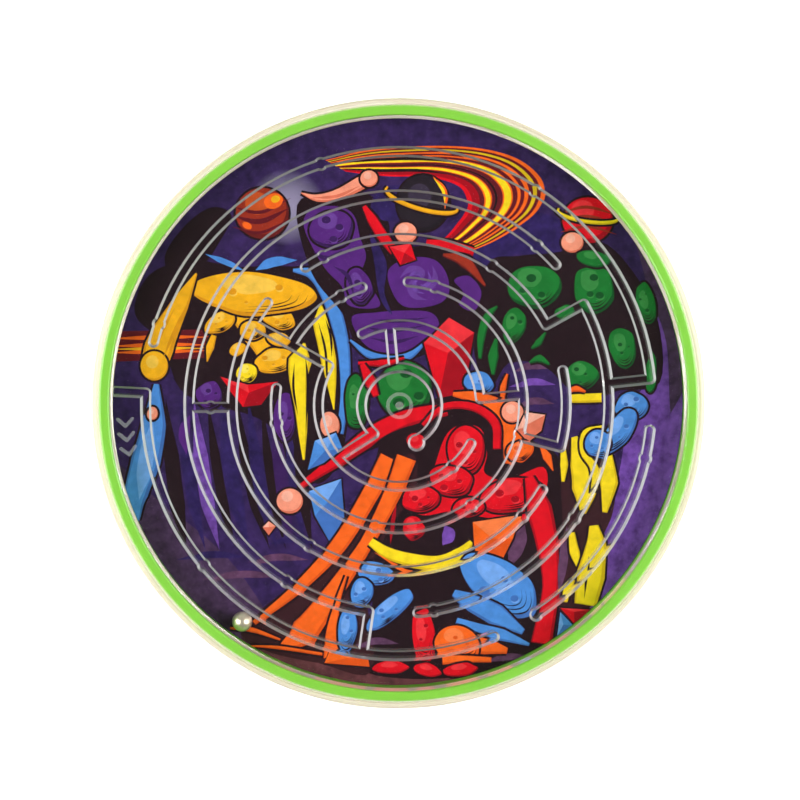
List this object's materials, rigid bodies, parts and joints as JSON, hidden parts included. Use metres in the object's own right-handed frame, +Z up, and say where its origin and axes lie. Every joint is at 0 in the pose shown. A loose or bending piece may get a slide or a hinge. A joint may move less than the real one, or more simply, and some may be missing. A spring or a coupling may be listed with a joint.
{
  "type": "tilt maze game",
  "caption": "Round pocket tilt maze: a printed card in a shallow plastic dish under a clear cover moulded with curved maze walls, with a loose steel ball inside.",
  "frame": {"origin": "centre of the flat underside of the dish", "axes": "+Z up through the clear cover, along the short axis; the start rib of the maze lies towards -X, and +Y is the top of the printed picture"},
  "size_m": [0.06, 0.06, 0.006],
  "materials": {
    "tray_plastic": "glossy opaque polystyrene, lime green",
    "printed_card": "coated card with a colour print",
    "clear_plastic": "clear moulded polystyrene, polished faces and slightly frosted rib sides",
    "ball_steel": "polished steel"
  },
  "bodies": {
    "case": {"base_tray": "tray_plastic", "printed_card": "printed_card", "maze_cover": "clear_plastic"},
    "ball": {"steel_ball": "ball_steel"}
  },
  "joints": [
    {"name": "ball_lap", "type": "hinge", "parent": "case", "child": "ball", "pos_m": [0, 0, 0], "axis": [0, 0, 1], "range_deg": [-54.3, 299.7]}
  ]
}
